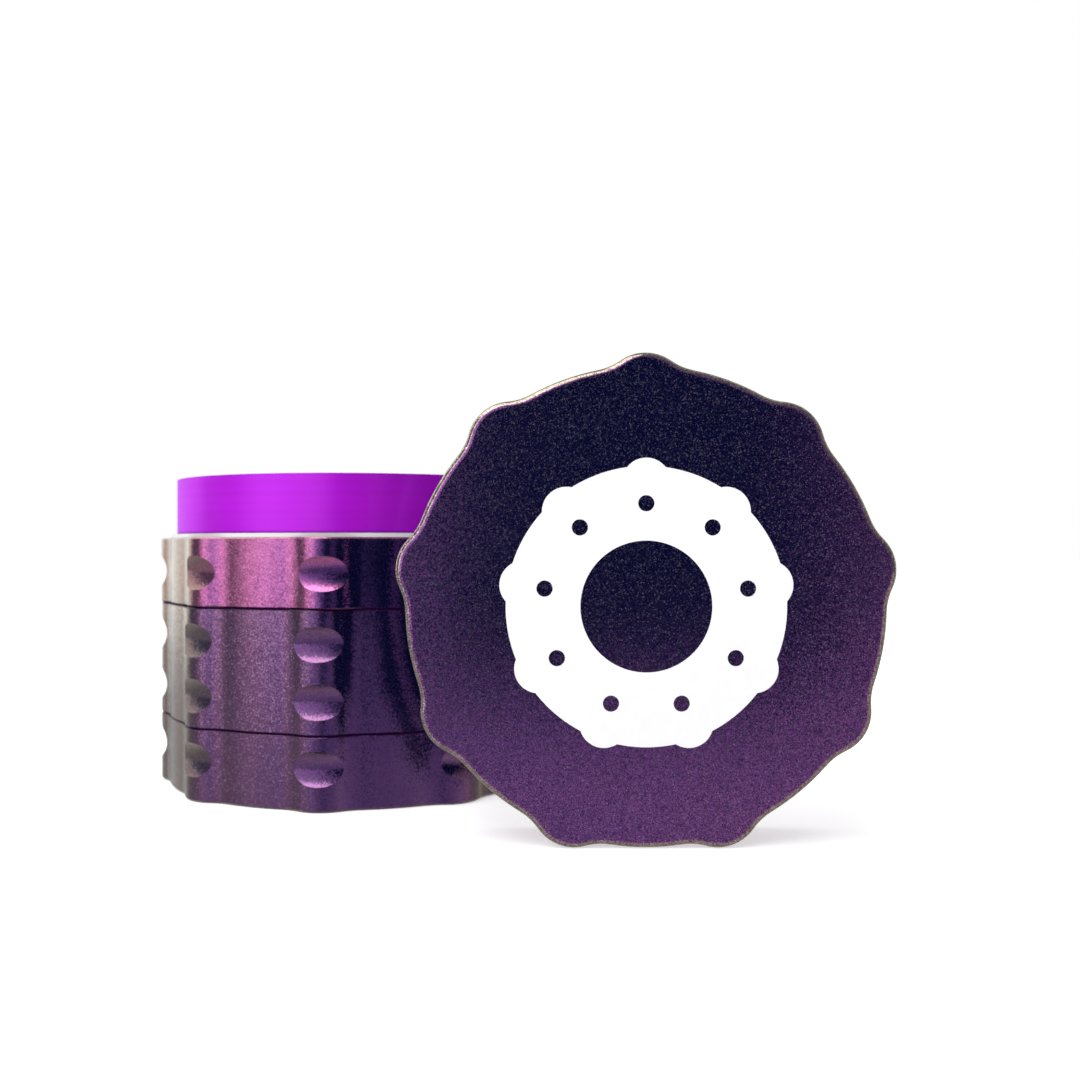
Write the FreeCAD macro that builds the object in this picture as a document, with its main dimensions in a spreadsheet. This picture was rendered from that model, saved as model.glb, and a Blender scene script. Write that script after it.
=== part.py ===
import FreeCAD, Part
import math
import os
import Sketcher

# Four-part hand grinder with nine finger lobes, in millimetres.
# The stack stands on the table about the Z axis.
# The lid is off and stands in front of it, on two of its lobes.

doc = FreeCAD.newDocument("hand_grinder")

# ---------------------------------------------------------------- driving dimensions
DIMENSIONS = (
    # outline shared by the three tiers and the lid
    ("lobe_count", 9),
    ("tip_radius", 37.5),
    ("flank_radius", 35.6),
    ("nose_radius", 6.5),
    ("blend_radius", 8.8),
    ("tier_turn", 17.9),
    ("chamber_turn", 19.15),
    ("edge_break", 0.25),
    # finger scoops turned into the lobes
    ("scoop_radius", 4.2),
    ("scoop_depth", 1.25),
    ("catcher_scoop", 7.3),
    ("lower_scoop", 18.45),
    ("upper_scoop", 28.1),
    ("chamber_scoop", 39.9),
    ("lid_scoop", 6.2),
    # heights of the stack
    ("lower_seam", 12.74),
    ("upper_seam", 33.89),
    ("ledge", 46.05),
    ("neck_top", 56.94),
    ("seam_gap", 0.05),
    # screwed joints
    ("socket_radius", 33.2),
    ("spigot_radius", 33.15),
    ("spigot_length", 5.6),
    ("socket_depth", 5.9),
    ("thread_pitch", 1.5),
    ("thread_depth", 0.45),
    ("thread_count", 3),
    ("first_thread", 1.3),
    # pollen catcher
    ("catcher_floor", 2.4),
    ("catcher_bore", 30.6),
    ("foot_chamfer", 0.4),
    # collection chamber and its screen
    ("chamber_bore", 30.0),
    ("screen_seat_radius", 31.2),
    ("screen_seat_top", 9.6),
    ("screen_ring_outer", 31.15),
    ("screen_ring_inner", 28.6),
    ("screen_frame_bottom", 8.5),
    ("screen_frame_top", 9.55),
    ("mesh_radius", 30.0),
    ("mesh_bottom", 8.95),
    ("mesh_top", 9.1),
    ("mesh_slot", 0.02),
    ("retainer_bottom", 7.4),
    ("retainer_top", 8.45),
    # grinding chamber
    ("neck_radius", 34.32),
    ("bowl_radius", 31.4),
    ("bowl_floor", 45.6),
    ("floor_underside", 42.0),
    ("hub_radius", 4.2),
    ("hub_top", 51.0),
    # lid, measured from its open rim
    ("skirt_depth", 11.2),
    ("lid_height", 14.6),
    ("mouth_radius", 34.4),
    ("boss_tip", 4.85),
    ("face_round", 1.0),
    # magnets
    ("magnet_radius", 3.0),
    ("magnet_height", 2.4),
    ("magnet_clearance", 0.05),
    # teeth, diamond shaped, in rings that pass between one another
    ("tooth_half_width", 1.5),
    ("tooth_half_length", 2.3),
    ("chamber_tooth_tip", 56.2),
    ("lid_tooth_tip", 0.4),
    ("chamber_ring_one", 10.9),
    ("chamber_ring_two", 18.3),
    ("chamber_ring_three", 25.7),
    ("chamber_teeth_one", 6),
    ("chamber_teeth_two", 9),
    ("chamber_teeth_three", 9),
    ("lid_ring_one", 7.2),
    ("lid_ring_two", 14.6),
    ("lid_ring_three", 22.0),
    ("lid_ring_four", 29.4),
    ("lid_teeth_one", 3),
    ("lid_teeth_two", 9),
    ("lid_teeth_three", 9),
    ("lid_teeth_four", 9),
    # drop holes through the bowl floor, under the lid's tooth rings
    ("drop_hole_radius", 1.9),
    ("drop_holes_two", 12),
    ("drop_holes_three", 18),
    ("drop_holes_four", 24),
    # white polymer rings
    ("glide_inner", 34.37),
    ("glide_outer", 35.35),
    ("glide_bottom", 46.07),
    ("glide_top", 46.77),
    ("washer_inner", 32.4),
    ("washer_outer", 34.2),
    ("washer_bottom", -0.16),
    ("washer_top", 0.54),
    # inlay on the lid face
    ("inlay_depth", 0.3),
    ("inlay_disc", 20.7),
    ("inlay_hole", 9.7),
    ("inlay_petal", 3.6),
    ("inlay_petal_ring", 18.3),
    ("inlay_dot", 1.2),
    ("inlay_dot_ring", 15.2),
    ("inlay_fit", 0.03),
    # where the lid stands
    ("lid_x", 51.4),
    ("lid_face_y", -60.8),
    # how far a turning profile runs past an open end
    ("cut_margin", 1.0),
)

sheet = doc.addObject("Spreadsheet::Sheet", "dims")
for row, (alias, number) in enumerate(DIMENSIONS, start=1):
    sheet.set(f"A{row}", alias)
    sheet.set(f"B{row}", str(number))
    sheet.setAlias(f"B{row}", alias)
doc.recompute()


def total(*terms):
    """Sum of sheet values, as an expression and as a number. A leading minus subtracts the value."""
    expression = "0"
    number = 0.0
    for term in terms:
        alias = term.lstrip("-")
        sign = -1.0 if term.startswith("-") else 1.0
        expression += f" {'-' if sign < 0 else '+'} dims.{alias}"
        number += sign * float(sheet.get(alias))
    return expression, number


def negated(value):
    expression, number = value
    return f"-({expression})", -number


ZERO = ("0", 0.0)
LID_CENTRE_HEIGHT = "(dims.tip_radius - dims.nose_radius) * cos(180 deg / dims.lobe_count) + dims.nose_radius"


def new_body(name):
    body = doc.addObject("PartDesign::Body", name)
    body.Label = name
    return body


def new_sketch(body, name, plane, level=None):
    """Sketch on one of the body's own origin planes, raised along the plane's normal to a level."""
    sketch = body.newObject("Sketcher::SketchObject", name)
    support = next(item for item in body.Origin.OriginFeatures if item.Role == plane)
    sketch.AttachmentSupport = (support, [""])
    sketch.MapMode = "FlatFace"
    if level is not None:
        sketch.setExpression("AttachmentOffset.Base.z", level[0])
    return sketch


def bind(sketch, constraint, value):
    """Adds a driving constraint and ties it to the sheet."""
    index = sketch.addConstraint(constraint)
    sketch.setExpression(f"Constraints[{index}]", value[0])


def place_vertex(sketch, geometry, position, x, y):
    """Fixes a vertex of a sketch at signed distances from the sketch's origin."""
    if x[1] == 0.0:
        sketch.addConstraint(Sketcher.Constraint("PointOnObject", geometry, position, -2))
    elif x[1] > 0.0:
        bind(sketch, Sketcher.Constraint("DistanceX", -1, 1, geometry, position, x[1]), x)
    else:
        flipped = negated(x)
        bind(sketch, Sketcher.Constraint("DistanceX", geometry, position, -1, 1, flipped[1]), flipped)
    if y[1] == 0.0:
        sketch.addConstraint(Sketcher.Constraint("PointOnObject", geometry, position, -1))
    elif y[1] > 0.0:
        bind(sketch, Sketcher.Constraint("DistanceY", -1, 1, geometry, position, y[1]), y)
    else:
        flipped = negated(y)
        bind(sketch, Sketcher.Constraint("DistanceY", geometry, position, -1, 1, flipped[1]), flipped)


def add_polygon(sketch, points):
    """Closed polygon whose every corner is driven by the sheet."""
    corners = [FreeCAD.Vector(x[1], y[1], 0) for x, y in points]
    first = sketch.GeometryCount
    count = len(corners)
    for index in range(count):
        sketch.addGeometry(Part.LineSegment(corners[index], corners[(index + 1) % count]))
    for index in range(count):
        follower = first + (index + 1) % count
        sketch.addConstraint(Sketcher.Constraint("Coincident", first + index, 2, follower, 1))
    for index, (x, y) in enumerate(points):
        place_vertex(sketch, first + index, 1, x, y)


def add_circle(sketch, radius, distance=ZERO):
    """Circle on the sketch's vertical axis, at a distance from its origin."""
    centre = FreeCAD.Vector(0, distance[1], 0)
    index = sketch.addGeometry(Part.Circle(centre, FreeCAD.Vector(0, 0, 1), radius[1]))
    place_vertex(sketch, index, 3, ZERO, distance)
    bind(sketch, Sketcher.Constraint("Radius", index, radius[1]), radius)


def pad(body, name, sketch, length):
    feature = body.newObject("PartDesign::Pad", name)
    feature.Profile = sketch
    feature.setExpression("Length", length[0])
    body.Tip = feature
    return feature


def pocket(body, name, sketch, length):
    feature = body.newObject("PartDesign::Pocket", name)
    feature.Profile = sketch
    feature.setExpression("Length", length[0])
    body.Tip = feature
    return feature


def turned(body, kind, name, points):
    """Revolution or Groove about the body's Z axis from a closed profile of (radius, height) corners."""
    sketch = new_sketch(body, name + "_profile", "XZ_Plane")
    add_polygon(sketch, points)
    feature = body.newObject(kind, name)
    feature.Profile = sketch
    feature.ReferenceAxis = (sketch, ["V_Axis"])
    feature.Angle = 360.0
    body.Tip = feature
    return feature


def around(body, feature, name, count):
    """Repeats a feature evenly around the Z axis, as many times as the sheet says."""
    pattern = body.newObject("PartDesign::PolarPattern", name)
    pattern.Originals = [feature]
    pattern.Axis = (feature.Profile[0], ["N_Axis"])
    pattern.Angle = 360.0
    pattern.setExpression("Occurrences", f"dims.{count}")
    body.Tip = pattern
    return pattern


def lobed_block(body, bottom, height):
    """Block with the lobed outline. One sector holds a lobe: flank, blend, nose, blend, flank."""
    flank = float(sheet.get("flank_radius"))
    nose = float(sheet.get("nose_radius"))
    blend = float(sheet.get("blend_radius"))
    reach = float(sheet.get("tip_radius")) - nose
    half_sector = math.pi / float(sheet.get("lobe_count"))
    axis = FreeCAD.Vector(0, 0, 1)
    origin = FreeCAD.Vector(0, 0, 0)

    outer = flank + blend
    blend_y = (outer**2 - (nose + blend) ** 2 + reach**2) / (2 * reach)
    blend_x = math.sqrt(outer**2 - blend_y**2)
    flank_angle = math.atan2(blend_y, blend_x)
    nose_angle = math.atan2(blend_y - reach, blend_x)
    side_angle = math.pi / 2 - half_sector
    right_corner = FreeCAD.Vector(flank * math.cos(side_angle), flank * math.sin(side_angle), 0)
    left_corner = FreeCAD.Vector(-right_corner.x, right_corner.y, 0)

    sketch = new_sketch(body, "sector_sketch", "XY_Plane", bottom)
    hub_circle = Part.Circle(origin, axis, flank)
    nose_circle = Part.Circle(FreeCAD.Vector(0, reach, 0), axis, nose)
    right_circle = Part.Circle(FreeCAD.Vector(blend_x, blend_y, 0), axis, blend)
    left_circle = Part.Circle(FreeCAD.Vector(-blend_x, blend_y, 0), axis, blend)
    sketch.addGeometry(Part.LineSegment(origin, right_corner))
    sketch.addGeometry(Part.ArcOfCircle(hub_circle, side_angle, flank_angle))
    sketch.addGeometry(Part.ArcOfCircle(right_circle, math.pi + nose_angle, math.pi + flank_angle))
    sketch.addGeometry(Part.ArcOfCircle(nose_circle, nose_angle, math.pi - nose_angle))
    sketch.addGeometry(Part.ArcOfCircle(left_circle, -flank_angle, -nose_angle))
    sketch.addGeometry(Part.ArcOfCircle(hub_circle, math.pi - flank_angle, math.pi - side_angle))
    sketch.addGeometry(Part.LineSegment(left_corner, origin))
    sketch.addConstraint(
        [
            Sketcher.Constraint("Coincident", 0, 1, -1, 1),
            Sketcher.Constraint("Coincident", 6, 2, -1, 1),
            Sketcher.Constraint("Coincident", 0, 2, 1, 1),
            Sketcher.Constraint("Coincident", 5, 2, 6, 1),
            Sketcher.Constraint("Coincident", 1, 3, -1, 1),
            Sketcher.Constraint("Coincident", 5, 3, -1, 1),
            Sketcher.Constraint("Tangent", 1, 2, 2, 2),
            Sketcher.Constraint("Tangent", 2, 1, 3, 1),
            Sketcher.Constraint("Tangent", 3, 2, 4, 2),
            Sketcher.Constraint("Tangent", 4, 1, 5, 1),
            Sketcher.Constraint("PointOnObject", 3, 3, -2),
        ]
    )
    bind(sketch, Sketcher.Constraint("Radius", 1, flank), total("flank_radius"))
    bind(sketch, Sketcher.Constraint("Radius", 5, flank), total("flank_radius"))
    bind(sketch, Sketcher.Constraint("Radius", 2, blend), total("blend_radius"))
    bind(sketch, Sketcher.Constraint("Radius", 4, blend), total("blend_radius"))
    bind(sketch, Sketcher.Constraint("Radius", 3, nose), total("nose_radius"))
    reach_value = total("tip_radius", "-nose_radius")
    bind(sketch, Sketcher.Constraint("DistanceY", -1, 1, 3, 3, reach), reach_value)
    half_turn = ("180 deg / dims.lobe_count", half_sector)
    bind(sketch, Sketcher.Constraint("Angle", -2, 2, 6, 2, half_sector), half_turn)
    bind(sketch, Sketcher.Constraint("Angle", 0, 1, -2, 1, half_sector), half_turn)
    sector = pad(body, "sector", sketch, height)
    return around(body, sector, "lobes", "lobe_count")


def scoop(body, name, level):
    """Round groove turned into the lobes, too shallow to reach the flanks."""
    sketch = new_sketch(body, name + "_profile", "XZ_Plane")
    distance = total("tip_radius", "-scoop_depth", "scoop_radius")
    radius = total("scoop_radius")
    centre = FreeCAD.Vector(distance[1], level[1], 0)
    sketch.addGeometry(Part.Circle(centre, FreeCAD.Vector(0, 0, 1), radius[1]))
    place_vertex(sketch, 0, 3, distance, level)
    bind(sketch, Sketcher.Constraint("Radius", 0, radius[1]), radius)
    feature = body.newObject("PartDesign::Groove", name)
    feature.Profile = sketch
    feature.ReferenceAxis = (sketch, ["V_Axis"])
    feature.Angle = 360.0
    body.Tip = feature


def thread_lines(body, name, radius, side, start):
    """Ring grooves along a screwed fit, one pitch apart. Side is +1 for a socket wall, -1 for a spigot."""
    sketch = new_sketch(body, name + "_profile", "XZ_Plane")
    depth = total("thread_depth") if side > 0 else negated(total("thread_depth"))
    for index in range(int(sheet.get("thread_count"))):
        shift = index * float(sheet.get("thread_pitch"))
        rise = (f"{start[0]} + {index} * dims.thread_pitch", start[1] + shift)
        low = (f"{rise[0]} - dims.thread_depth", rise[1] - abs(depth[1]))
        high = (f"{rise[0]} + dims.thread_depth", rise[1] + abs(depth[1]))
        root = (f"{radius[0]} + {depth[0]}", radius[1] + depth[1])
        add_polygon(sketch, ((radius, low), (root, rise), (radius, high)))
    feature = body.newObject("PartDesign::Groove", name)
    feature.Profile = sketch
    feature.ReferenceAxis = (sketch, ["V_Axis"])
    feature.Angle = 360.0
    body.Tip = feature


def outline_edges(shape, level):
    """Names of the edges of the lobed outline at a level."""
    smallest = float(sheet.get("flank_radius")) - 0.01
    names = []
    for index, edge in enumerate(shape.Edges, start=1):
        box = edge.BoundBox
        flat = abs(box.ZMin - level) < 1e-4 and abs(box.ZMax - level) < 1e-4
        points = edge.discretize(3)
        outside = min(math.hypot(point.x, point.y) for point in points) > smallest
        if flat and outside:
            names.append(f"Edge{index}")
    return names


def break_edges(body, name, levels, size):
    """Chamfers the lobed outline at the given levels."""
    dress_edges(body, name, "PartDesign::Chamfer", "Size", levels, size)


def round_edges(body, name, levels, radius):
    """Rounds the lobed outline at the given levels."""
    dress_edges(body, name, "PartDesign::Fillet", "Radius", levels, radius)


def dress_edges(body, name, kind, measure, levels, size):
    doc.recompute()
    base = body.Tip
    names = []
    for level in levels:
        names.extend(outline_edges(base.Shape, level[1]))
    feature = body.newObject(kind, name)
    feature.Base = (base, names)
    feature.setExpression(measure, size[0])
    body.Tip = feature


def tooth_ring(body, name, ring, level, length, count):
    """Ring of diamond teeth standing on a level."""
    sketch = new_sketch(body, name + "_sketch", "XY_Plane", level)
    inner = total(ring, "-tooth_half_width")
    outer = total(ring, "tooth_half_width")
    half_length = total("tooth_half_length")
    middle = total(ring)
    corners = ((ZERO, inner), (half_length, middle), (ZERO, outer), (negated(half_length), middle))
    add_polygon(sketch, corners)
    tooth = pad(body, name + "_tooth", sketch, length)
    return around(body, tooth, name, count)


def turn_about_axis(body, angle):
    """Turns a finished piece about the Z axis of the stack: the axis is set, then the angle is bound."""
    upward = FreeCAD.Rotation(FreeCAD.Vector(0, 0, 1), 1.0)
    body.Placement = FreeCAD.Placement(FreeCAD.Vector(0, 0, 0), upward)
    body.setExpression("Placement.Rotation.Angle", f"dims.{angle}")


def stand_lid_piece(piece):
    """Stands a piece of the lid on two lobes with its face to the front."""
    upright = FreeCAD.Rotation(FreeCAD.Vector(1, 0, 0), 90.0)
    piece.Placement = FreeCAD.Placement(FreeCAD.Vector(0, 0, 0), upright)
    piece.setExpression("Placement.Base.x", "dims.lid_x")
    piece.setExpression("Placement.Base.y", "dims.lid_face_y + dims.lid_height")
    piece.setExpression("Placement.Base.z", LID_CENTRE_HEIGHT)


def ring_body(name, inner, outer, bottom, top):
    """Plain flat ring."""
    body = new_body(name)
    corners = ((inner, bottom), (outer, bottom), (outer, top), (inner, top))
    turned(body, "PartDesign::Revolution", "ring", corners)
    return body


def disc_body(name, radius, bottom, top):
    """Plain round disc."""
    body = new_body(name)
    corners = ((ZERO, bottom), (radius, bottom), (radius, top), (ZERO, top))
    turned(body, "PartDesign::Revolution", "disc", corners)
    return body


# ---------------------------------------------------------------- pollen catcher
catcher = new_body("pollen_catcher")
catcher_top = total("lower_seam")
catcher_shoulder = total("lower_seam", "-socket_depth")
above_catcher = total("lower_seam", "cut_margin")
lobed_block(catcher, ZERO, catcher_top)
scoop(catcher, "finger_scoop", total("catcher_scoop"))
turned(
    catcher,
    "PartDesign::Groove",
    "cup",
    (
        (ZERO, total("catcher_floor")),
        (total("catcher_bore"), total("catcher_floor")),
        (total("catcher_bore"), catcher_shoulder),
        (total("socket_radius"), catcher_shoulder),
        (total("socket_radius"), above_catcher),
        (ZERO, above_catcher),
    ),
)
catcher_thread = total("lower_seam", "-socket_depth", "first_thread")
thread_lines(catcher, "socket_thread", total("socket_radius"), 1, catcher_thread)
break_edges(catcher, "foot_chamfer", (ZERO,), total("foot_chamfer"))
break_edges(catcher, "broken_edges", (catcher_top,), total("edge_break"))
turn_about_axis(catcher, "tier_turn")

# ---------------------------------------------------------------- collection chamber
collection = new_body("collection_chamber")
collection_bottom = total("lower_seam", "seam_gap")
collection_top = total("upper_seam")
collection_shoulder = total("upper_seam", "-socket_depth")
collection_spigot_end = total("lower_seam", "seam_gap", "-spigot_length")
above_collection = total("upper_seam", "cut_margin")
lobed_block(collection, collection_bottom, total("upper_seam", "-lower_seam", "-seam_gap"))
scoop(collection, "lower_finger_scoop", total("lower_scoop"))
scoop(collection, "upper_finger_scoop", total("upper_scoop"))
collection_spigot = new_sketch(collection, "spigot_sketch", "XY_Plane", collection_spigot_end)
add_circle(collection_spigot, total("spigot_radius"))
pad(collection, "spigot", collection_spigot, total("spigot_length", "seam_gap"))
turned(
    collection,
    "PartDesign::Groove",
    "store",
    (
        (ZERO, ZERO),
        (total("screen_seat_radius"), ZERO),
        (total("screen_seat_radius"), total("screen_seat_top")),
        (total("chamber_bore"), total("screen_seat_top")),
        (total("chamber_bore"), collection_shoulder),
        (total("socket_radius"), collection_shoulder),
        (total("socket_radius"), above_collection),
        (ZERO, above_collection),
    ),
)
collection_socket_thread = total("upper_seam", "-socket_depth", "first_thread")
thread_lines(collection, "socket_thread", total("socket_radius"), 1, collection_socket_thread)
collection_spigot_thread = total("lower_seam", "seam_gap", "-spigot_length", "first_thread")
thread_lines(collection, "spigot_thread", total("spigot_radius"), -1, collection_spigot_thread)
break_edges(collection, "broken_edges", (collection_bottom, collection_top), total("edge_break"))
turn_about_axis(collection, "tier_turn")

# ---------------------------------------------------------------- screen
frame = new_body("screen_frame")
turned(
    frame,
    "PartDesign::Revolution",
    "frame_ring",
    (
        (total("screen_ring_inner"), total("screen_frame_bottom")),
        (total("screen_ring_outer"), total("screen_frame_bottom")),
        (total("screen_ring_outer"), total("screen_frame_top")),
        (total("screen_ring_inner"), total("screen_frame_top")),
        (total("screen_ring_inner"), total("mesh_top", "mesh_slot")),
        (total("mesh_radius", "mesh_slot"), total("mesh_top", "mesh_slot")),
        (total("mesh_radius", "mesh_slot"), total("mesh_bottom", "-mesh_slot")),
        (total("screen_ring_inner"), total("mesh_bottom", "-mesh_slot")),
    ),
)
mesh = disc_body("screen_mesh", total("mesh_radius"), total("mesh_bottom"), total("mesh_top"))
retainer = ring_body(
    "screen_retainer",
    total("screen_ring_inner"),
    total("screen_ring_outer"),
    total("retainer_bottom"),
    total("retainer_top"),
)

# ---------------------------------------------------------------- grinding chamber
grinding = new_body("grinding_chamber")
grinding_bottom = total("upper_seam", "seam_gap")
grinding_top = total("ledge")
grinding_spigot_end = total("upper_seam", "seam_gap", "-spigot_length")
above_neck = total("neck_top", "cut_margin")
below_spigot = total("upper_seam", "-spigot_length", "-cut_margin")
lobed_block(grinding, grinding_bottom, total("ledge", "-upper_seam", "-seam_gap"))
scoop(grinding, "finger_scoop", total("chamber_scoop"))
break_edges(grinding, "broken_edges", (grinding_bottom, grinding_top), total("edge_break"))
neck_sketch = new_sketch(grinding, "neck_sketch", "XY_Plane", total("ledge", "-seam_gap"))
add_circle(neck_sketch, total("neck_radius"))
pad(grinding, "neck", neck_sketch, total("neck_top", "-ledge", "seam_gap"))
grinding_spigot = new_sketch(grinding, "spigot_sketch", "XY_Plane", grinding_spigot_end)
add_circle(grinding_spigot, total("spigot_radius"))
pad(grinding, "spigot", grinding_spigot, total("spigot_length", "seam_gap"))
magnet_pocket_radius = total("magnet_radius", "magnet_clearance")
hub_pocket_floor = total("hub_top", "-magnet_height", "-magnet_clearance")
turned(
    grinding,
    "PartDesign::Groove",
    "bowl",
    (
        (ZERO, hub_pocket_floor),
        (magnet_pocket_radius, hub_pocket_floor),
        (magnet_pocket_radius, total("hub_top")),
        (total("hub_radius"), total("hub_top")),
        (total("hub_radius"), total("bowl_floor")),
        (total("bowl_radius"), total("bowl_floor")),
        (total("bowl_radius"), above_neck),
        (ZERO, above_neck),
    ),
)
turned(
    grinding,
    "PartDesign::Groove",
    "underside",
    (
        (ZERO, below_spigot),
        (total("chamber_bore"), below_spigot),
        (total("chamber_bore"), total("floor_underside")),
        (ZERO, total("floor_underside")),
    ),
)
grinding_spigot_thread = total("upper_seam", "seam_gap", "-spigot_length", "first_thread")
thread_lines(grinding, "spigot_thread", total("spigot_radius"), -1, grinding_spigot_thread)
chamber_tooth_length = total("chamber_tooth_tip", "-bowl_floor")
for ring in ("one", "two", "three"):
    radius = f"chamber_ring_{ring}"
    count = f"chamber_teeth_{ring}"
    tooth_ring(grinding, f"teeth_{ring}", radius, total("bowl_floor"), chamber_tooth_length, count)
for ring in ("two", "three", "four"):
    hole_sketch = new_sketch(grinding, f"drop_sketch_{ring}", "XY_Plane", total("bowl_floor"))
    add_circle(hole_sketch, total("drop_hole_radius"), total(f"lid_ring_{ring}"))
    hole = pocket(grinding, f"drop_hole_{ring}", hole_sketch, total("bowl_floor", "-floor_underside"))
    around(grinding, hole, f"hole_ring_{ring}", f"drop_holes_{ring}")
turn_about_axis(grinding, "chamber_turn")

chamber_magnet = disc_body(
    "chamber_magnet",
    total("magnet_radius"),
    total("hub_top", "-magnet_height"),
    total("hub_top", "-magnet_clearance"),
)
glide = ring_body(
    "glide_ring",
    total("glide_inner"),
    total("glide_outer"),
    total("glide_bottom"),
    total("glide_top"),
)

# ---------------------------------------------------------------- lid
lid = new_body("lid_shell")
lid_top = total("lid_height")
below_mouth = negated(total("cut_margin"))
boss_pocket_top = total("boss_tip", "magnet_height", "magnet_clearance")
lobed_block(lid, ZERO, lid_top)
scoop(lid, "finger_scoop", total("lid_scoop"))
round_edges(lid, "face_round", (lid_top,), total("face_round"))
break_edges(lid, "rim_break", (ZERO,), total("edge_break"))
turned(
    lid,
    "PartDesign::Groove",
    "mouth",
    (
        (ZERO, below_mouth),
        (total("mouth_radius"), below_mouth),
        (total("mouth_radius"), total("skirt_depth")),
        (total("hub_radius"), total("skirt_depth")),
        (total("hub_radius"), total("boss_tip")),
        (magnet_pocket_radius, total("boss_tip")),
        (magnet_pocket_radius, boss_pocket_top),
        (ZERO, boss_pocket_top),
    ),
)
lid_tooth_length = total("skirt_depth", "-lid_tooth_tip")
for ring in ("one", "two", "three", "four"):
    radius = f"lid_ring_{ring}"
    count = f"lid_teeth_{ring}"
    tooth_ring(lid, f"teeth_{ring}", radius, total("lid_tooth_tip"), lid_tooth_length, count)

inlay_seat = new_sketch(lid, "inlay_seat_sketch", "XY_Plane", lid_top)
add_circle(inlay_seat, total("inlay_disc", "inlay_fit"))
add_circle(inlay_seat, total("inlay_hole", "-inlay_fit"))
pocket(lid, "inlay_seat", inlay_seat, total("inlay_depth"))
petal_seat = new_sketch(lid, "petal_seat_sketch", "XY_Plane", lid_top)
add_circle(petal_seat, total("inlay_petal", "inlay_fit"), total("inlay_petal_ring"))
petal_pocket = pocket(lid, "petal_seat", petal_seat, total("inlay_depth"))
around(lid, petal_pocket, "petal_seats", "lobe_count")
stand_lid_piece(lid)

inlay = new_body("lid_inlay")
inlay_bottom = total("lid_height", "-inlay_depth")
inlay_sketch = new_sketch(inlay, "ring_sketch", "XY_Plane", inlay_bottom)
add_circle(inlay_sketch, total("inlay_disc"))
pad(inlay, "disc", inlay_sketch, total("inlay_depth"))
petal_sketch = new_sketch(inlay, "petal_sketch", "XY_Plane", inlay_bottom)
add_circle(petal_sketch, total("inlay_petal"), total("inlay_petal_ring"))
petal = pad(inlay, "petal", petal_sketch, total("inlay_depth"))
around(inlay, petal, "petals", "lobe_count")
centre_sketch = new_sketch(inlay, "hole_sketch", "XY_Plane", lid_top)
add_circle(centre_sketch, total("inlay_hole"))
pocket(inlay, "hole", centre_sketch, total("inlay_depth"))
dot_sketch = new_sketch(inlay, "dot_sketch", "XY_Plane", lid_top)
add_circle(dot_sketch, total("inlay_dot"), total("inlay_dot_ring"))
dot = pocket(inlay, "dot", dot_sketch, total("inlay_depth"))
around(inlay, dot, "dots", "lobe_count")
stand_lid_piece(inlay)

lid_magnet = disc_body(
    "lid_magnet",
    total("magnet_radius"),
    total("boss_tip", "magnet_clearance"),
    total("boss_tip", "magnet_height"),
)
stand_lid_piece(lid_magnet)
washer = ring_body(
    "lid_washer",
    total("washer_inner"),
    total("washer_outer"),
    total("washer_bottom"),
    total("washer_top"),
)
stand_lid_piece(washer)

# ---------------------------------------------------------------- check and write
doc.recompute()
for item in doc.Objects:
    bad = [state for state in item.State if state in ("Invalid", "Error")]
    if bad:
        raise RuntimeError(f"{item.Name} is {bad}")

PIECES = (
    catcher,
    collection,
    frame,
    mesh,
    retainer,
    grinding,
    chamber_magnet,
    glide,
    lid,
    inlay,
    lid_magnet,
    washer,
)
os.makedirs("parts", exist_ok=True)
for piece in PIECES:
    shape = piece.Shape
    if shape.isNull() or not shape.isValid() or len(shape.Solids) != 1:
        raise RuntimeError(f"{piece.Label} is not one valid solid")
    shape.exportStep(f"parts/{piece.Label}.step")
    box = shape.BoundBox
    sizes = f"{box.XLength:.2f} x {box.YLength:.2f} x {box.ZLength:.2f}"
    print(f"{piece.Label}: {sizes} mm, {shape.Volume / 1000:.2f} cm3")
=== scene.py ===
import math

import bpy
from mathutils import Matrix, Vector


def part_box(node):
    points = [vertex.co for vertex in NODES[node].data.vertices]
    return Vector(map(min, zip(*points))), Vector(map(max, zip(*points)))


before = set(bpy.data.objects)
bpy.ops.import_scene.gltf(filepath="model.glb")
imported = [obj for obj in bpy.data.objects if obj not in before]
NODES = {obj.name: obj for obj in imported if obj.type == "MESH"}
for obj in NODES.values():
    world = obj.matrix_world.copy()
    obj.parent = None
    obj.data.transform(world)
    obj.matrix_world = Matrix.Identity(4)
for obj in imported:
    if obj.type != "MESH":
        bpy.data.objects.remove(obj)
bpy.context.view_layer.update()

# Looks of a four-part hand grinder: colour-shift flake coating outside, violet anodised metal inside,
# white polymer rings and inlay, steel screen and magnets. Everything is in metres, in the CAD frame.

MM = 0.001

# ------------------------------------------------------------------ places on the object
lid_low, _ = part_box("lid_shell")
_, ring_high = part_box("glide_ring")
magnet_low, magnet_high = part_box("lid_magnet")
LID_X = (magnet_low.x + magnet_high.x) / 2
LID_Z = (magnet_low.z + magnet_high.z) / 2
LID_FACE = lid_low.y
LID_PLATE = 2.6 * MM
RING_TOP = ring_high.z
INNER_RADIUS = 34.9 * MM
SEAMS = (12.74 * MM, 33.89 * MM)

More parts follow.
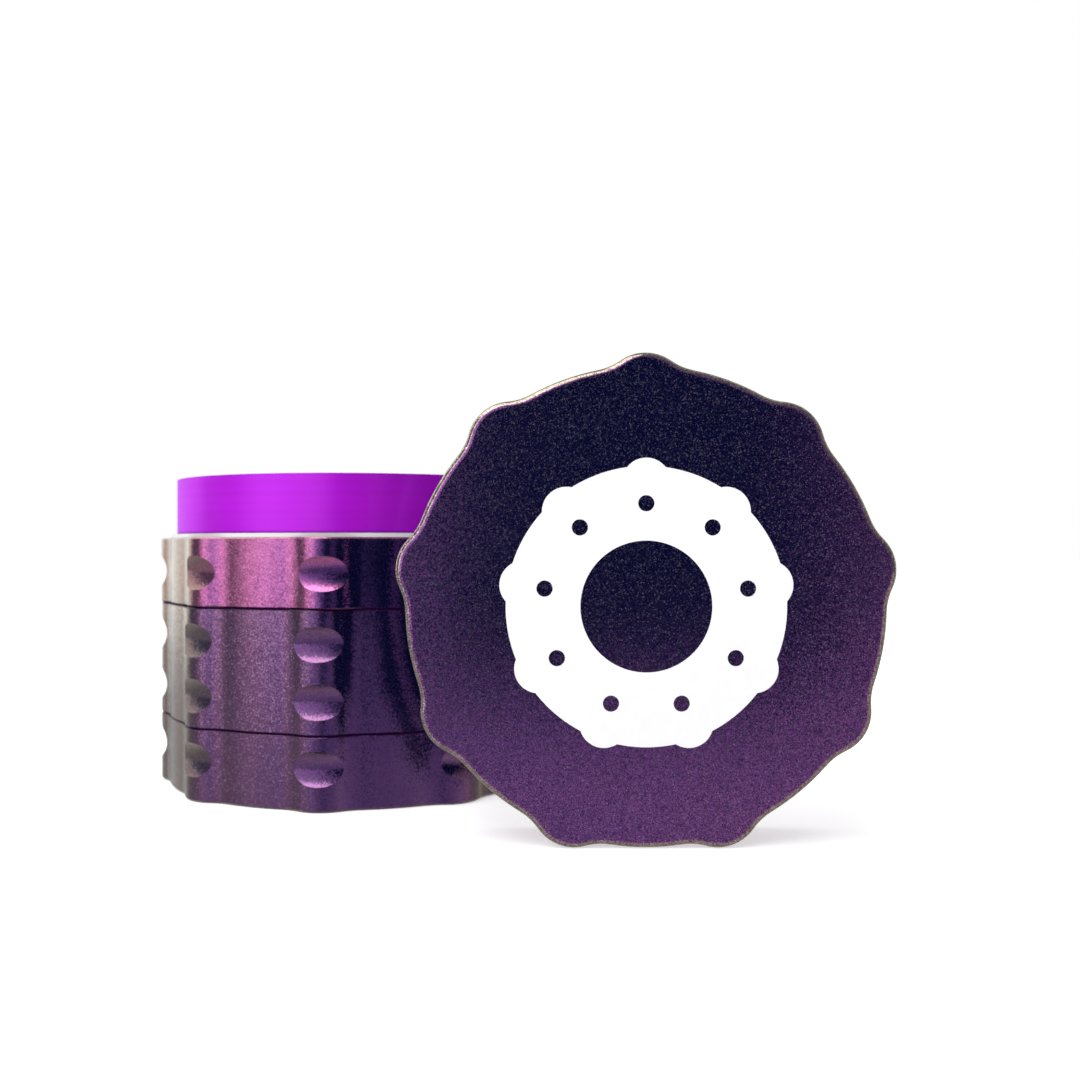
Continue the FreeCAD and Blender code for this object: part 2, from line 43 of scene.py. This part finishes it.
# ------------------------------------------------------------------ colours, linear
# The coating's film at each share of the way from square on, 0, to edge on, 1.
FILM = (
    (0.00, (0.30, 0.11, 0.38)),
    (0.10, (0.44, 0.13, 0.36)),
    (0.20, (0.54, 0.155, 0.34)),
    (0.29, (0.38, 0.12, 0.21)),
    (0.53, (0.33, 0.17, 0.15)),
    (0.64, (0.42, 0.30, 0.20)),
    (0.78, (0.58, 0.51, 0.40)),
    (0.92, (0.85, 0.83, 0.74)),
)
STEEP_TINT = (1.15, 1.15, 1.15)
UNDERCOAT = (0.002, 0.009, 0.10)
FLECK = (0.42, 0.36, 0.50)
DEEP_VIOLET = (0.53, 0.0, 0.83)
LIGHT_VIOLET = (0.62, 0.0, 0.91)
VIOLET_GLOSS = (1.0, 0.95, 1.0)
# Painted shade for the seams between the tiers and for the foot of the neck.
SEAM_SHADE = (0.02, 0.002, 0.03)
FIBRE = (0.75, 0.74, 0.78)
LID_SHADE = (0.002, 0.002, 0.006)
WIRE = (0.60, 0.60, 0.62)
WIRE_GAP = (0.01, 0.008, 0.012)

# ------------------------------------------------------------------ node helpers


def node(tree, kind, inputs=None, **settings):
    """New node. A value that is a socket is linked, any other is set."""
    made = tree.nodes.new(kind)
    for name, value in settings.items():
        setattr(made, name, value)
    for key, value in (inputs or {}).items():
        if isinstance(value, bpy.types.NodeSocket):
            tree.links.new(value, made.inputs[key])
        else:
            made.inputs[key].default_value = value
    return made


def maths(tree, operation, *values):
    return node(tree, "ShaderNodeMath", dict(enumerate(values)), operation=operation).outputs[0]


def vector_maths(tree, operation, *values):
    return node(tree, "ShaderNodeVectorMath", dict(enumerate(values)), operation=operation).outputs[0]


def scaled(tree, vector, factor):
    return node(tree, "ShaderNodeVectorMath", {0: vector, "Scale": factor}, operation="SCALE").outputs[0]


def opaque(colour):
    return (*colour, 1.0)


def mix_colours(tree, factor, first, second):
    return node(tree, "ShaderNodeMix", {0: factor, 6: first, 7: second}, data_type="RGBA").outputs[2]


def mix_shaders(tree, factor, first, second):
    return node(tree, "ShaderNodeMixShader", {0: factor, 1: first, 2: second}).outputs[0]


def principled(tree, inputs):
    return node(tree, "ShaderNodeBsdfPrincipled", inputs).outputs[0]


def diffuse(tree, colour):
    return node(tree, "ShaderNodeBsdfDiffuse", {"Color": opaque(colour)}).outputs[0]


def channels(tree, colour):
    """The three parts of a colour."""
    return node(tree, "ShaderNodeSeparateColor", {0: colour}).outputs


def smooth_step(tree, value, low, high, start=0.0, end=1.0):
    inputs = {"Value": value, "From Min": low, "From Max": high, "To Min": start, "To Max": end}
    return node(tree, "ShaderNodeMapRange", inputs, interpolation_type="SMOOTHSTEP").outputs[0]


def window(tree, value, low, high, soft):
    """1 between two limits, falling to 0 over a soft edge outside them."""
    rise = smooth_step(tree, value, low - soft, low)
    fall = smooth_step(tree, value, high, high + soft, 1.0, 0.0)
    return maths(tree, "MULTIPLY", rise, fall)


def spread(tree, value, start, end):
    """Maps 0..1 to start..end."""
    return node(tree, "ShaderNodeMapRange", {"Value": value, "To Min": start, "To Max": end}).outputs[0]


def ramp(tree, factor, stops):
    made = node(tree, "ShaderNodeValToRGB", {"Fac": factor})
    elements = made.color_ramp.elements
    while len(elements) < len(stops):
        elements.new(0.5)
    for element, (position, colour) in zip(elements, stops):
        element.position = position
        element.color = opaque(colour)
    return made.outputs[0]


def noise(tree, place, size, detail=2.0, roughness=0.5):
    inputs = {"Vector": place, "Scale": 1.0 / size, "Detail": detail, "Roughness": roughness}
    return node(tree, "ShaderNodeTexNoise", inputs).outputs[0]


def cells(tree, place, size):
    """Voronoi cells of a size in metres. Outputs: Distance and a random Color."""
    return node(tree, "ShaderNodeTexVoronoi", {"Vector": place, "Scale": 1.0 / size}).outputs


def bump(tree, height, distance, strength):
    inputs = {"Height": height, "Distance": distance, "Strength": strength}
    return node(tree, "ShaderNodeBump", inputs).outputs[0]


def object_place(tree):
    return node(tree, "ShaderNodeTexCoord").outputs["Object"]


def new_material(name):
    material = bpy.data.materials.new(name)
    material.use_nodes = True
    material.node_tree.nodes.clear()
    return material, material.node_tree


def finish_material(tree, shader):
    node(tree, "ShaderNodeOutputMaterial", {"Surface": shader})


# ------------------------------------------------------------------ finishes


def distance_from_axis(tree, place, across, up):
    """Distance from a line, and the place's three parts. Each of across and up is an axis number and the
    line's place along that axis."""
    parts = node(tree, "ShaderNodeSeparateXYZ", {0: place}).outputs
    a = maths(tree, "SUBTRACT", parts[across[0]], across[1])
    b = maths(tree, "SUBTRACT", parts[up[0]], up[1])
    squares = maths(tree, "ADD", maths(tree, "MULTIPLY", a, a), maths(tree, "MULTIPLY", b, b))
    return maths(tree, "SQRT", squares), parts


def tilted(tree, normal, tilt, amount):
    return vector_maths(tree, "NORMALIZE", vector_maths(tree, "ADD", normal, scaled(tree, tilt, amount)))


def film_colour(tree, place, level_tint, slant_tint, slant_from):
    """Colour of the film. It follows the viewing angle, and drifts a little over the surface."""
    facing = node(tree, "ShaderNodeLayerWeight", {"Blend": 0.5}).outputs["Facing"]
    drift = noise(tree, place, 9.0 * MM, 3.0)
    facing = maths(tree, "ADD", facing, spread(tree, drift, -0.03, 0.03))
    slanted = smooth_step(tree, facing, slant_from, slant_from + 0.08)
    steep = smooth_step(tree, facing, 0.45, 0.75)
    tint = mix_colours(tree, slanted, opaque(level_tint), slant_tint)
    tint = mix_colours(tree, steep, tint, opaque(STEEP_TINT))
    return vector_maths(tree, "MULTIPLY", ramp(tree, facing, FILM), tint)


def flake_shader(tree, place, level_tint, slant_tint, slant_from, sparkle, lean, rough):
    """Colour-shift coating: flakes that lie nearly flat, each at its own small lean, and bright flecks.

    The tints weigh the film where it is seen square on and at a slant, and slant_from is where the second
    takes over. Sparkle is the strength of the flecks and of the change from flake to flake.
    """
    fine = cells(tree, place, 0.16 * MM)
    coarse = cells(tree, place, 0.42 * MM)
    chance = channels(tree, fine["Color"])
    shade = channels(tree, coarse["Color"])[0]
    plain = node(tree, "ShaderNodeNewGeometry").outputs["Normal"]
    tilt = vector_maths(tree, "SUBTRACT", fine["Color"], (0.5, 0.5, 0.5))
    normal = tilted(tree, plain, tilt, lean)
    fleck_normal = tilted(tree, plain, tilt, 0.40)

    change = 0.55 * sparkle
    flake_light = spread(tree, chance[1], 0.95 - change, 1.05 + change)
    brightness = maths(tree, "ADD", flake_light, spread(tree, shade, -0.08, 0.08))
    film = film_colour(tree, place, level_tint, slant_tint, slant_from)
    worn = noise(tree, place, 3.5 * MM, 4.0, 0.6)
    metal = principled(
        tree,
        {
            "Base Color": vector_maths(tree, "MULTIPLY", film, brightness),
            "Metallic": 1.0,
            "Roughness": spread(tree, worn, rough, rough + 0.03),
            "Normal": normal,
        },
    )
    undercoat = principled(
        tree,
        {
            "Base Color": opaque(UNDERCOAT),
            "Roughness": 0.6,
            "Specular IOR Level": 0.1,
            "Normal": normal,
        },
    )
    coat = mix_shaders(tree, 0.80, undercoat, metal)

    fleck = maths(tree, "MULTIPLY", smooth_step(tree, chance[2], 0.60, 0.80), sparkle)
    fleck_light = maths(tree, "MULTIPLY", fleck, maths(tree, "POWER", chance[0], 2.0))
    fleck_colour = node(tree, "ShaderNodeCombineColor", dict(enumerate(FLECK))).outputs[0]
    fleck_colour = scaled(tree, fleck_colour, fleck_light)
    fleck_inputs = {"Color": fleck_colour, "Roughness": 0.30, "Normal": fleck_normal}
    flecks = node(tree, "ShaderNodeBsdfAnisotropic", fleck_inputs).outputs[0]
    return node(tree, "ShaderNodeAddShader", {0: coat, 1: flecks}).outputs[0]


def anodised_shader(tree, place, radius, along, matt_share):
    """Turned violet anodised metal, with fine lathe lines and wider bands round the axis."""
    line_place = node(tree, "ShaderNodeCombineXYZ", {0: radius, 1: along, 2: 0.0}).outputs[0]
    lines = noise(tree, line_place, 0.11 * MM)
    bands = noise(tree, line_place, 0.9 * MM)
    patches = noise(tree, place, 6.0 * MM, 3.0)
    colour = mix_colours(tree, patches, opaque(DEEP_VIOLET), opaque(LIGHT_VIOLET))
    colour = scaled(tree, colour, spread(tree, bands, 0.88, 1.12))
    normal = bump(tree, lines, 0.012 * MM, 0.5)
    rough = spread(tree, lines, 0.38, 0.46)
    metal = principled(tree, {"Base Color": colour, "Metallic": 1.0, "Roughness": rough, "Normal": normal})
    gloss_inputs = {"Base Color": opaque(VIOLET_GLOSS), "Metallic": 1.0, "Roughness": 0.16, "Normal": normal}
    gloss = principled(tree, gloss_inputs)
    matt = principled(tree, {"Base Color": colour, "Roughness": 0.8, "Normal": normal})
    return mix_shaders(tree, 0.022, mix_shaders(tree, matt_share, metal, matt), gloss)


def painted_seam_shade(tree, height):
    """Share of painted shade: a dark band in the seams between the tiers and at the foot of the neck, just
    above the glide ring.
    """
    foot = smooth_step(tree, height, RING_TOP + 0.10 * MM, RING_TOP + 0.45 * MM, 0.55, 0.0)
    share = maths(tree, "MULTIPLY", foot, maths(tree, "GREATER_THAN", height, RING_TOP - 0.3 * MM))
    for seam in SEAMS:
        away = maths(tree, "ABSOLUTE", maths(tree, "SUBTRACT", height, seam))
        share = maths(tree, "MAXIMUM", share, smooth_step(tree, away, 0.10 * MM, 0.40 * MM, 0.8, 0.0))
    return share


def tier_material(name, level_tint, slant_tint):
    """Coated outside and anodised inside, for the pieces of the stack."""
    material, tree = new_material(name)
    place = object_place(tree)
    radius, parts = distance_from_axis(tree, place, (0, 0.0), (1, 0.0))
    height = parts[2]
    outer = flake_shader(
        tree, place, level_tint, opaque(slant_tint), slant_from=0.02, sparkle=0.26, lean=0.12, rough=0.12
    )
    inner = anodised_shader(tree, place, radius, height, 0.50)
    unshaded = mix_shaders(tree, maths(tree, "LESS_THAN", radius, INNER_RADIUS), outer, inner)
    # Painted shade: a dark diffuse band over the seams and the neck's foot.
    finish_material(tree, mix_shaders(tree, painted_seam_shade(tree, height), unshaded, diffuse(tree, SEAM_SHADE)))
    return material


def lint(tree, place):
    """1 on a few short white fibres and specks of dust."""
    bend = node(tree, "ShaderNodeTexNoise", {"Vector": place, "Scale": 1.0 / (2.5 * MM)}).outputs["Color"]
    bent = vector_maths(tree, "ADD", place, scaled(tree, bend, 2.0 * MM))
    stretched = vector_maths(tree, "MULTIPLY", bent, (1.0, 1.0, 0.30))
    spot = cells(tree, stretched, 5.5 * MM)
    chance = channels(tree, spot["Color"])
    near = maths(tree, "LESS_THAN", spot["Distance"], spread(tree, chance[1], 0.010, 0.022))
    return maths(tree, "MULTIPLY", near, maths(tree, "GREATER_THAN", chance[0], 0.82))


def lid_material(name):
    """Coated face and side, paler on the face's edge as a painted highlight, and anodised mouth and teeth,
    darker than the stack's anodising as painted shade.

    What other pieces mirror of the lid is painted nearly black, a painted shade. What the lid mirrors of
    itself, nearer by, isn't.
    """
    material, tree = new_material(name)
    place = object_place(tree)
    radius, parts = distance_from_axis(tree, place, (0, LID_X), (2, LID_Z))
    depth = maths(tree, "SUBTRACT", parts[1], LID_FACE)
    near_axis = maths(tree, "LESS_THAN", radius, INNER_RADIUS)
    inside = maths(tree, "MULTIPLY", near_axis, maths(tree, "GREATER_THAN", depth, LID_PLATE))
    # Painted highlight: a paler, greener film 0.1 to 0.6 mm back from the face stands in for the edge's thin
    # highlight line.
    edge = window(tree, depth, 0.10 * MM, 0.60 * MM, 0.20 * MM)
    slant_tint = mix_colours(tree, edge, (1.0, 1.2, 1.0, 1.0), (1.25, 2.8, 1.25, 1.0))
    coat = flake_shader(
        tree, place, (0.84, 0.84, 0.88), slant_tint, slant_from=0.06, sparkle=1.0, lean=0.05, rough=0.09
    )
    outer = mix_shaders(tree, lint(tree, place), coat, diffuse(tree, FIBRE))
    # Painted shade: the mouth and teeth take a matt share of 0.15 against the stack's 0.50, so the same
    # anodising looks darker inside the lid.
    inner = anodised_shader(tree, place, radius, parts[1], 0.15)
    lid = mix_shaders(tree, inside, outer, inner)
    # Painted shade: glossy rays that come from more than 4 to 8 mm away see the lid as near-black LID_SHADE.
    path = node(tree, "ShaderNodeLightPath").outputs
    far = smooth_step(tree, path["Ray Length"], 4.0 * MM, 8.0 * MM, 0.0, 0.98)
    mirrored = maths(tree, "MULTIPLY", path["Is Glossy Ray"], far)
    finish_material(tree, mix_shaders(tree, mirrored, lid, diffuse(tree, LID_SHADE)))
    return material


def polymer_material(name, colour):
    """White polymer with faint mottling."""
    material, tree = new_material(name)
    place = object_place(tree)
    mottle = noise(tree, place, 1.5 * MM, 3.0)
    grain = noise(tree, place, 0.15 * MM)
    darker = tuple(0.94 * part for part in colour)
    tint = mix_colours(tree, mottle, opaque(darker), opaque(colour))
    rough = spread(tree, mottle, 0.42, 0.55)
    normal = bump(tree, grain, 0.01 * MM, 0.4)
    finish_material(tree, principled(tree, {"Base Color": tint, "Roughness": rough, "Normal": normal}))
    return material


def steel_material(name, colour, smoothest):
    """Turned steel or nickel plate."""
    material, tree = new_material(name)
    place = object_place(tree)
    lines = noise(tree, place, 0.2 * MM, 3.0)
    wear = noise(tree, place, 2.0 * MM, 3.0)
    darker = tuple(0.86 * part for part in colour)
    tint = mix_colours(tree, wear, opaque(darker), opaque(colour))
    rough = spread(tree, wear, smoothest, smoothest + 0.12)
    normal = bump(tree, lines, 0.01 * MM, 0.3)
    steel = principled(tree, {"Base Color": tint, "Metallic": 1.0, "Roughness": rough, "Normal": normal})
    finish_material(tree, steel)
    return material


def woven_material(name, pitch):
    """Fine plain-weave screen: two sets of wires over dark gaps."""
    material, tree = new_material(name)
    parts = node(tree, "ShaderNodeSeparateXYZ", {0: object_place(tree)}).outputs
    turns = 2 * math.pi / pitch
    wave_x = maths(tree, "SINE", maths(tree, "MULTIPLY", parts[0], turns))
    wave_y = maths(tree, "SINE", maths(tree, "MULTIPLY", parts[1], turns))
    height = maths(tree, "MAXIMUM", wave_x, wave_y)
    wire = smooth_step(tree, height, -0.15, 0.35)
    tint = mix_colours(tree, wire, opaque(WIRE_GAP), opaque(WIRE))
    normal = bump(tree, height, 0.05 * MM, 0.8)
    screen = principled(tree, {"Base Color": tint, "Metallic": wire, "Roughness": 0.38, "Normal": normal})
    finish_material(tree, screen)
    return material


def dress(material, *names):
    """Gives CAD nodes a finish in every material slot."""
    for name in names:
        piece = NODES[name]
        if not piece.data.materials:
            piece.data.materials.append(material)
        for slot in piece.material_slots:
            slot.material = material


dress(
    tier_material("lower_tier_coating", (0.54, 0.65, 0.64), (0.64, 1.00, 0.86)),
    "pollen_catcher",
    "collection_chamber",
)
dress(tier_material("top_tier_coating", (0.42, 0.42, 0.55), (1.40, 1.40, 1.40)), "grinding_chamber")
dress(lid_material("lid_coating"), "lid_shell")
dress(polymer_material("white_inlay", (0.93, 0.93, 0.95)), "lid_inlay")
# Painted shade: the rings take a duller white than the inlay, 0.78 against 0.93, for the glide ring that
# sits in shadow.
dress(polymer_material("white_polymer_painted_shade", (0.78, 0.76, 0.79)), "glide_ring", "lid_washer")
dress(steel_material("turned_steel", (0.62, 0.62, 0.64), 0.28), "screen_frame", "screen_retainer")
dress(woven_material("woven_screen", 0.30 * MM), "screen_mesh")
dress(steel_material("nickel_plate", (0.78, 0.77, 0.76), 0.16), "chamber_magnet", "lid_magnet")

# ------------------------------------------------------------------ floor, light and camera


def floor():
    """Plain pale floor, just under the object. Reflections show the surround in its place."""
    bpy.ops.mesh.primitive_plane_add(size=6.0, location=(0.0, 0.0, -0.05 * MM))
    plane = bpy.context.object
    plane.name = "studio_floor"
    material, tree = new_material("studio_floor")
    faint = noise(tree, object_place(tree), 50.0 * MM)
    tint = mix_colours(tree, faint, (0.90, 0.90, 0.90, 1.0), (0.93, 0.93, 0.93, 1.0))
    inputs = {"Base Color": tint, "Roughness": 0.7, "Emission Color": tint, "Emission Strength": 0.60}
    finish_material(tree, principled(tree, inputs))
    plane.data.materials.append(material)
    plane.visible_glossy = False


def studio_world():
    """Surround that the metal shows: bright on the left, dark round the camera, dim on the right, with a
    patch of sky on the left above. The camera itself sees plain white.

    Turn and lift are in degrees, with 0, 0 towards the camera and turn growing to the right.
    """
    world = bpy.data.worlds.new("studio")
    bpy.context.scene.world = world
    world.use_nodes = True
    tree = world.node_tree
    tree.nodes.clear()
    direction = node(tree, "ShaderNodeTexCoord").outputs["Generated"]
    parts = node(tree, "ShaderNodeSeparateXYZ", {0: direction}).outputs
    ahead = maths(tree, "MULTIPLY", parts[1], -1.0)
    turn = maths(tree, "DEGREES", maths(tree, "ARCTAN2", parts[0], ahead))
    lift = maths(tree, "DEGREES", maths(tree, "ARCSINE", parts[2]))

    lights = (
        maths(tree, "MULTIPLY", window(tree, turn, -58.0, -20.0, 18.0), 0.85),
        maths(tree, "MULTIPLY", window(tree, turn, -51.0, -45.0, 9.0), 0.35),
        maths(tree, "MULTIPLY", window(tree, turn, -150.0, -112.0, 14.0), 0.95),
        smooth_step(tree, turn, 70.0, 120.0, 0.0, 0.30),
    )
    wall = 0.16
    for light in lights:
        wall = maths(tree, "ADD", wall, light)
    above = smooth_step(tree, lift, -7.0, -1.0)
    level = maths(tree, "ADD", maths(tree, "MULTIPLY", wall, above), spread(tree, above, 0.40, 0.0))
    sky_turn = window(tree, turn, -125.0, -75.0, 40.0)
    sky_lift = window(tree, lift, 48.0, 62.0, 12.0)
    sky = maths(tree, "MULTIPLY", maths(tree, "MULTIPLY", sky_turn, sky_lift), 0.9)
    level = maths(tree, "ADD", level, sky)
    dark = maths(tree, "MULTIPLY", window(tree, turn, -3.0, 11.0, 6.0), window(tree, lift, -5.5, 25.0, 4.0))
    level = maths(tree, "MULTIPLY", level, spread(tree, dark, 1.0, 0.01))
    seen = node(tree, "ShaderNodeLightPath").outputs["Is Camera Ray"]
    inputs = {"Color": (1.0, 1.0, 1.0, 1.0), "Strength": maths(tree, "MAXIMUM", level, seen)}
    back = node(tree, "ShaderNodeBackground", inputs).outputs[0]
    node(tree, "ShaderNodeOutputWorld", {"Surface": back})


def soft_box(name, azimuth, elevation, distance, side, power, mirrored):
    """Square area light that faces the object. Azimuth 0 is in front, 90 to the right."""
    aim = Vector((20.0, -30.0, 30.0)) * MM
    turn = math.radians(azimuth)
    lift = math.radians(elevation)
    away = Vector((math.sin(turn) * math.cos(lift), -math.cos(turn) * math.cos(lift), math.sin(lift)))
    data = bpy.data.lights.new(name, "AREA")
    data.shape = "SQUARE"
    data.size = side
    data.energy = power
    lamp = bpy.data.objects.new(name, data)
    lamp.visible_glossy = mirrored
    lamp.location = aim + away * distance
    lamp.rotation_euler = away.to_track_quat("Z", "Y").to_euler()
    bpy.context.collection.objects.link(lamp)


def camera():
    data = bpy.data.cameras.new("camera")
    data.lens = 40.22
    data.sensor_width = 36.0
    data.shift_y = 0.0064
    data.clip_start = 10.0 * MM
    data.dof.use_dof = True
    data.dof.focus_distance = 177.4 * MM
    data.dof.aperture_fstop = 28.0
    eye = bpy.data.objects.new("camera", data)
    eye.location = (35.76 * MM, -238.2 * MM, 44.4 * MM)
    eye.rotation_euler = (math.radians(90.0), 0.0, 0.0)
    bpy.context.collection.objects.link(eye)
    bpy.context.scene.camera = eye


floor()
studio_world()
soft_box("front_box", azimuth=-15.0, elevation=48.0, distance=0.6, side=0.3, power=1.0, mirrored=False)
soft_box("top_box", azimuth=-60.0, elevation=68.0, distance=0.7, side=0.5, power=1.2, mirrored=True)
camera()
bpy.context.scene.view_settings.view_transform = "Standard"
